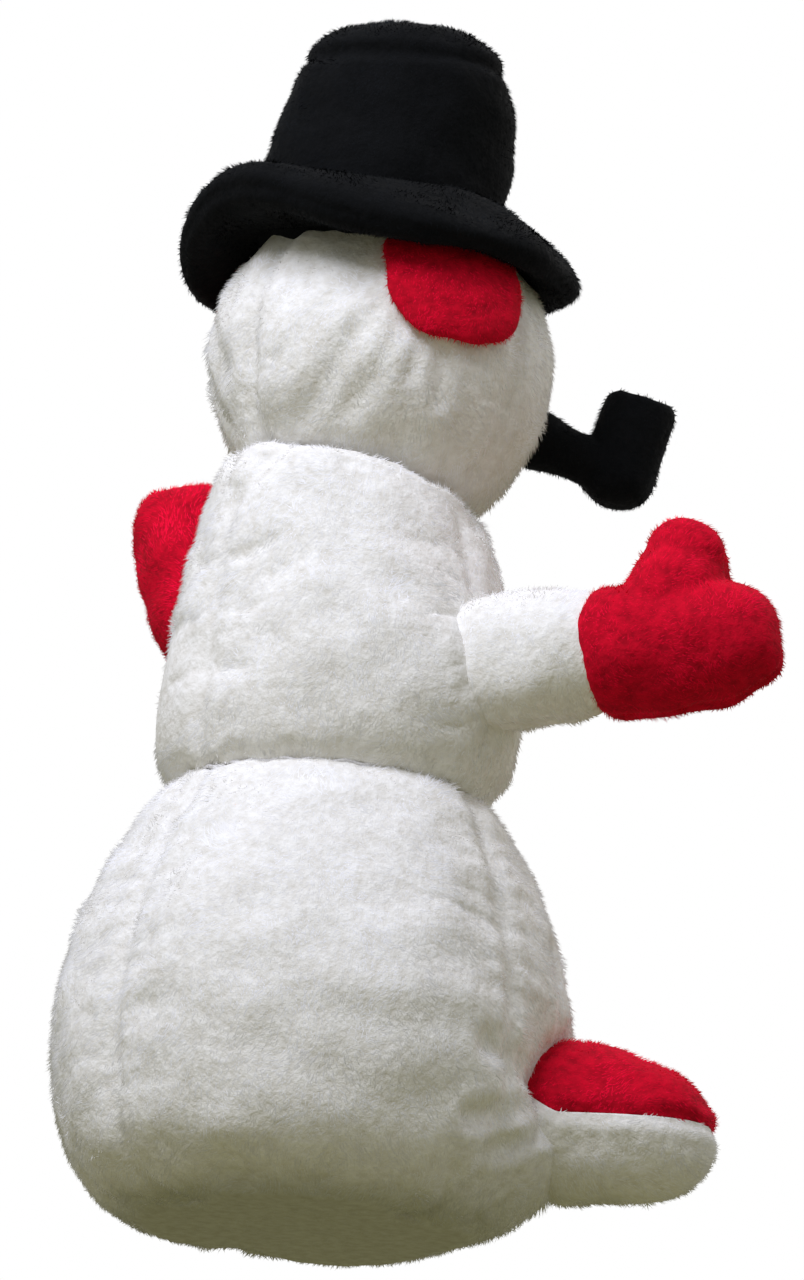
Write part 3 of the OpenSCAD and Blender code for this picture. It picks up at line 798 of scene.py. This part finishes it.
ORANGE = {
    "slot": "orange_plush",
    # knitted ground with painted shade in its hollows and painted light on its clumps, 9 mm apart
    "ground": matt_fibre("orange_plush_ground", "#e07a1c", "#b4560e", 0.009),
    "tones": [
        fibre("orange_pile_shaded", "#cf6a14"),
        fibre("orange_pile", "#e27d1e"),
        fibre("orange_pile_bright", "#ee8f30"),
    ],
    "tufts_per_m2": 180000,
    "length": 0.0042,
    "width": 0.0012,
}
nose_r, nose_length = 0.0205, 0.059
nose_place = head_place @ turned("Z", -90) @ turned("Y", 99) @ Matrix.Translation((0, 0, 0.135))
nose_rings = [(0.018, -0.008), (nose_r, 0.002)] + quarter(0.002, nose_length, nose_r, 0.006, 1.25)[::-1]
nose = pattern("nose", nose_rings, 40)
own = points_of(nose)
own[:, 0] += 0.004 * np.clip(own[:, 2] / nose_length, 0, 1) ** 2
shape(nose, own)
put(nose, nose_place)
stuff(nose, 0.004, 0.0012)
# stitched rings, each part of the way round, as on a carrot
for height, start in ((0.013, 20), (0.023, 190), (0.032, 70), (0.041, 250)):
    radius = 0.0215 * (1 - height / 0.066)
    turns = [math.radians(start + t) for t in range(0, 150, 15)]
    ring = [(radius * math.cos(t), radius * math.sin(t), height) for t in turns]
    fold(nose, away_from(points_of(nose), placed(nose_place, ring)), 0.0012, 0.003)
nose.data.materials.append(ORANGE["ground"])
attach(nose, "head")
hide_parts("nose_shell", "nose_stuffing")
pile(nose, "head", ORANGE, 81)

# soft yarn of twisted plies, 2 mm apart, with painted shade in the grooves between them and painted light on
# the plies
yarn = matt_fibre("black_yarn", "#1c1c20", "#08080a", 0.002)
stitch_rings = [(0.0008, -0.0052), (0.0022, -0.004), (0.0028, 0), (0.0022, 0.004), (0.0008, 0.0052)]


def on_smile(turn):
    """A point of the smile, by its direction from the middle of the arc."""
    return on_head(-27 * math.sin(turn), -4 - 27 * math.cos(turn), 0.1365)


stitches = []
for i in range(12):
    turn = math.radians(-24 + 72 * (i + 0.5) / 12)
    middle, ahead = on_smile(turn), on_smile(turn + 0.05)
    stitch = pattern(f"stitch_{i}", stitch_rings, 10)
    lie = (Vector(ahead) - Vector(middle)).to_track_quat("Z", "Y").to_matrix().to_4x4()
    put(stitch, Matrix.Translation(middle) @ lie)
    stitches.append(stitch)
take(stitches[0])
for stitch in stitches:
    stitch.select_set(True)
bpy.ops.object.join()
mouth = bpy.context.object
mouth.name = mouth.data.name = "smile_stitches"
rounding = mouth.modifiers.new("rounding", "SUBSURF")
rounding.levels = rounding.render_levels = 1
bpy.ops.object.modifier_apply(modifier="rounding")
bpy.ops.object.shade_smooth()
mouth.data.materials.append(yarn)
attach(mouth, "head")
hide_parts("mouth_stitching")

# HAT
# A soft top hat of short black velour: a crown, a domed top set in with a seam, and a thick padded brim.
# The brim's two rings are sewn round the rim, and its own weight lets it droop and wave.

BLACK = {
    "slot": "black_plush",
    # knitted ground with painted shade in its hollows and painted light on its clumps, 9 mm apart
    "ground": matt_fibre("black_velour_ground", "#08090b", "#040506", 0.009),
    "tones": [
        fibre("black_velour_deep", "#040608"),
        fibre("black_velour", "#07090b"),
        fibre("black_velour_worn", "#0c0f12"),
    ],
    "tufts_per_m2": 135000,
    "length": 0.0044,
    "width": 0.0013,
}

crown_r, top_r = 0.0905, 0.078
crown_rings = [(0.08, 0.08), (crown_r, 0.095), (crown_r, 0.112)]
crown_rings += quarter(top_r, 0.229, crown_r, 0.113, 1.6)[::-1][1:]
crown_rings += quarter(0.004, 0.2655, 0.0772, 0.231, 2.2)[::-1]
crown = pattern("crown", crown_rings, 72)
own = points_of(crown)
# the crown leans a little to the front right
own[:, :2] += 0.009 * np.clip((own[:, 2] - 0.11) / 0.12, 0, 1)[:, None] * np.array((-0.62, -0.79))
shape(crown, own)
put(crown, hat_place)
turns = [t / 20 for t in range(0, 127)]
seam = [(top_r * math.cos(t) - 0.0056, top_r * math.sin(t) - 0.0071, 0.23) for t in turns]
seam = placed(hat_place, seam)
stuff(crown, 0.0055, 0.0025, [seam])
fold(crown, away_from(points_of(crown), seam), 0.0018, 0.005)
spot = points_of(crown)
soft_bumps = 0.0028 * lumps(spot, 0.11, 91) + 0.0008 * lumps(spot, 0.04, 92)
shape(crown, spot + outward_of(crown) * soft_bumps[:, None])
crown.data.materials.append(BLACK["ground"])
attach(crown, "head")
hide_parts("hat_crown", "hat_top", "hat_crown_stuffing")
pile(crown, "head", BLACK, 93)

droop = math.radians(24)
rim, root, thick = (0.137, 0.086), (0.076, 0.1132), 0.0155
across = (thick * math.sin(droop), thick * math.cos(droop))


def brim_face(share, sign):
    """A ring on the brim's under side (-1) or upper side (1), from its root (0) to its rim (1)."""
    middle = [root[i] + (rim[i] - root[i]) * share for i in (0, 1)]
    return middle[0] + sign * across[0], middle[1] + sign * across[1]


edge_turns = [math.radians(-114 + 15 * i) for i in range(13)]
brim_rings = [brim_face(share, -1) for share in (0, 0.3, 0.6, 0.85)]
brim_rings += [(rim[0] + thick * math.cos(t), rim[1] + thick * math.sin(t)) for t in edge_turns]
brim_rings += [brim_face(share, 1) for share in (0.85, 0.6, 0.3, 0.05)]
brim = pattern("brim", brim_rings, 96)


def brim_drop(x, y):
    """How far the brim hangs below its pattern: up at the back, down at its left and its front right."""
    turn, outer = np.arctan2(y, x), np.clip((np.hypot(x, y) - 0.085) / 0.067, 0, 1)
    left, front_right, back = (np.clip(np.cos(turn - math.radians(way)), 0, 1) for way in (16, 220, 92))
    fall = (0.028 * left**2.5 + 0.018 * front_right**2) * outer**1.5
    lift = 0.026 * back**4 * outer**0.8 + 0.004 * np.sin(math.pi * outer)
    return fall - lift + 0.004 * np.sin(3 * turn + 0.6) * outer


own = points_of(brim)
own[:, 2] -= brim_drop(own[:, 0], own[:, 1])
shape(brim, own)
put(brim, hat_place)
stuff(brim, 0.0055, 0.0025)
edge = (rim[0] + thick * math.cos(-droop), rim[1] + thick * math.sin(-droop))
seam = []
for t in range(0, 361, 5):
    x, y = edge[0] * math.cos(math.radians(t)), edge[0] * math.sin(math.radians(t))
    seam.append((x, y, edge[1] - float(brim_drop(x, y))))
fold(brim, away_from(points_of(brim), placed(hat_place, seam)), 0.0025, 0.006)
spot = points_of(brim)
shape(brim, spot + outward_of(brim) * (0.0022 * lumps(spot, 0.08, 95))[:, None])
brim.data.materials.append(BLACK["ground"])
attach(brim, "head")
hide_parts("hat_brim_upper", "hat_brim_lower", "hat_brim_pad")


def brim_shows(root, out):
    """Where pile grows: outside the crown."""
    in_hat = root @ hat_frame[:3, :3].T + hat_frame[:3, 3]
    return np.hypot(in_hat[:, 0], in_hat[:, 1]) > 0.088


pile(brim, "head", BLACK, 97, brim_shows)

# PIPE
# A stuffed toy pipe of the same black velour: a stem, and a bowl with a hollow top.
# Its root is sewn into the right corner of the mouth, where it can bend.

pipe_place = head_place @ turned("Z", -90 - 24) @ turned("Y", 90 + 16) @ Matrix.Translation((0, 0, 0.135))
stem_rings = [(0.008, -0.02), (0.018, -0.013), (0.0225, 0), (0.021, 0.012), (0.0185, 0.03), (0.0185, 0.066)]
stem = pattern("stem", stem_rings, 40)
put(stem, pipe_place)
bowl_r, bowl_z = 0.0285, 0.026
bowl_rings = quarter(0.004, 0.003, bowl_r, bowl_z, 2.4) + [(bowl_r, 0.053), (0.0265, 0.082)]
bowl_rings += [(0.0235, 0.0855), (0.0205, 0.083), (0.0185, 0.079), (0.004, 0.0785)]
bowl_place = pipe_place @ Matrix.Translation((0, 0, 0.067)) @ turned("Y", -94)
bowl = pattern("pipe_skin", bowl_rings, 40)
put(bowl, bowl_place @ Matrix.Translation((0, 0, -bowl_z)))
take(stem)
bowl.select_set(True)
bpy.context.view_layer.objects.active = bowl
bpy.ops.object.join()
stuff(bowl, 0.004, 0.0015)
spot = points_of(bowl)
shape(bowl, spot + outward_of(bowl) * (0.001 * lumps(spot, 0.04, 101))[:, None])
bowl.data.materials.append(BLACK["ground"])
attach(bowl, "pipe")
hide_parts("pipe_stem", "pipe_bowl", "pipe_bowl_top", "pipe_stuffing")
pile(bowl, "pipe", BLACK, 103)

# INSIDE
# What the skin hides: the neck's wad of carded polyester fibre, tied into a ball,
# and the plastic washers that are pressed on the posts of the eyes.

# carded fibre with painted shade in its hollows and painted light on its clumps, 9 mm apart
wad = matt_fibre("polyester_wadding", "#f2efe4", "#d9d4c4", 0.009)
washer = moulded_plastic("grey_moulded_plastic", "#55555a")
for name, material in (("neck_wad", wad), ("eye_washers", washer)):
    node = frame["nodes"][name]
    node.data.materials.clear()
    node.data.materials.append(material)

# STUDIO
# A plain pale floor, a large soft lamp from above, a weaker one opposite, and an even sky.
# The camera looks up a little, so the floor is a sheet that is clear from below.

floor_mat = bpy.data.materials.new("studio_floor")
floor_mat.use_nodes = True
tree = floor_mat.node_tree
tree.nodes.remove(tree.nodes["Principled BSDF"])
path = add(tree, "ShaderNodeLightPath", {})
geometry = add(tree, "ShaderNodeNewGeometry", {})
pale = add(tree, "ShaderNodeBsdfDiffuse", {"Color": linear("#efeeea")})
earth = add(tree, "ShaderNodeBsdfDiffuse", {"Color": linear("#8f8a6c")})
clear = add(tree, "ShaderNodeBsdfTransparent", {})
looked_at = path.outputs["Is Camera Ray"]
seen = add(tree, "ShaderNodeMixShader", {0: looked_at, 1: earth.outputs["BSDF"], 2: pale.outputs["BSDF"]})
# looked at from below the floor is clear, and half of the light from below comes through it
from_below = {0: looked_at, 1: geometry.outputs["Backfacing"]}
below = add(tree, "ShaderNodeMath", from_below, operation="MULTIPLY")
other = add(tree, "ShaderNodeMath", {0: 1.0, 1: looked_at}, operation="SUBTRACT")
half = {0: other.outputs[0], 1: 0.5, 2: below.outputs[0]}
through = add(tree, "ShaderNodeMath", half, operation="MULTIPLY_ADD")
sheet = {0: through.outputs[0], 1: seen.outputs["Shader"], 2: clear.outputs["BSDF"]}
floor_out = add(tree, "ShaderNodeMixShader", sheet)
tree.links.new(floor_out.outputs["Shader"], tree.nodes["Material Output"].inputs["Surface"])
bpy.ops.object.select_all(action="DESELECT")
bpy.ops.mesh.primitive_plane_add(size=12, location=(0, 0, 0))
floor = bpy.context.object
floor.name = "studio_floor"
floor.data.materials.append(floor_mat)

turn, tip, roll = math.radians(232), math.radians(-15), math.radians(4)
towards = Vector((math.sin(turn) * math.cos(tip), -math.cos(turn) * math.cos(tip), math.sin(tip)))
level = (-towards).cross(Vector((0, 0, 1))).normalized()
upright = level.cross(-towards)
right = level * math.cos(roll) + upright * math.sin(roll)
up = upright * math.cos(roll) - level * math.sin(roll)
# with this focal length in pixels, a pixel of the 804 by 1280 frame is 0.75 mm on the toy
focal, distance = 10526, 7.877
aim = (right * (402 - 300) + up * (1232 - 640)) * (distance / focal)
camera = bpy.data.objects.new("camera", bpy.data.cameras.new("camera"))
bpy.context.collection.objects.link(camera)
camera.data.sensor_width = 36
camera.data.lens = focal / 1280 * 36
camera.data.clip_end = 100
camera.matrix_world = Matrix((right, up, towards)).transposed().to_4x4()
camera.location = aim + towards * distance
bpy.context.scene.camera = camera


def lamp(name, offset, size, watts, colour):
    """A square soft lamp, so far from the toy's middle and facing it."""
    made = bpy.data.objects.new(name, bpy.data.lights.new(name, "AREA"))
    bpy.context.collection.objects.link(made)
    made.data.size, made.data.energy, made.data.color = size, watts, linear(colour)[:3]
    made.location = Vector((0, 0, 0.5)) + offset
    made.rotation_mode = "QUATERNION"
    made.rotation_quaternion = offset.to_track_quat("Z", "Y")


lamp("key", -level * 1.15 + Vector((0, 0, 2.55)) + towards * 1.8, 1.6, 88, "#f0f2ff")
lamp("fill", level * 1.9 + Vector((0, 0, 1.4)) - towards * 1.1, 2.2, 16, "#fff8ee")
world = bpy.context.scene.world or bpy.data.worlds.new("studio")
bpy.context.scene.world = world
world.use_nodes = True
tree = world.node_tree
tree.nodes.clear()
path = add(tree, "ShaderNodeLightPath", {})
way = add(tree, "ShaderNodeTexCoord", {}).outputs["Generated"]
parts = add(tree, "ShaderNodeSeparateXYZ", {"Vector": way})
height = add(tree, "ShaderNodeMapRange", {"Value": parts.outputs["Z"], "From Min": -1.0, "From Max": 1.0})
light = add(tree, "ShaderNodeValToRGB", {"Fac": height.outputs["Result"]})
ground, sky = light.color_ramp.elements
ground.position, ground.color = 0.27, linear("#b0ae7c")
sky.position, sky.color = 0.75, linear("#eceef6")
mirrored = {0: path.outputs["Is Camera Ray"], 1: path.outputs["Is Glossy Ray"]}
seen = add(tree, "ShaderNodeMath", mirrored, operation="MAXIMUM")
refracted = {0: seen.outputs[0], 1: path.outputs["Is Transmission Ray"]}
seen = add(tree, "ShaderNodeMath", refracted, operation="MAXIMUM")
lit = add(tree, "ShaderNodeBackground", {"Color": light.outputs["Color"], "Strength": 0.58})
plain = add(tree, "ShaderNodeBackground", {"Color": (1, 1, 1, 1), "Strength": 1.0})
backdrop = {0: seen.outputs[0], 1: lit.outputs["Background"], 2: plain.outputs["Background"]}
mixed = add(tree, "ShaderNodeMixShader", backdrop)
add(tree, "ShaderNodeOutputWorld", {"Surface": mixed.outputs["Shader"]})

bpy.context.scene.view_settings.view_transform = "Standard"
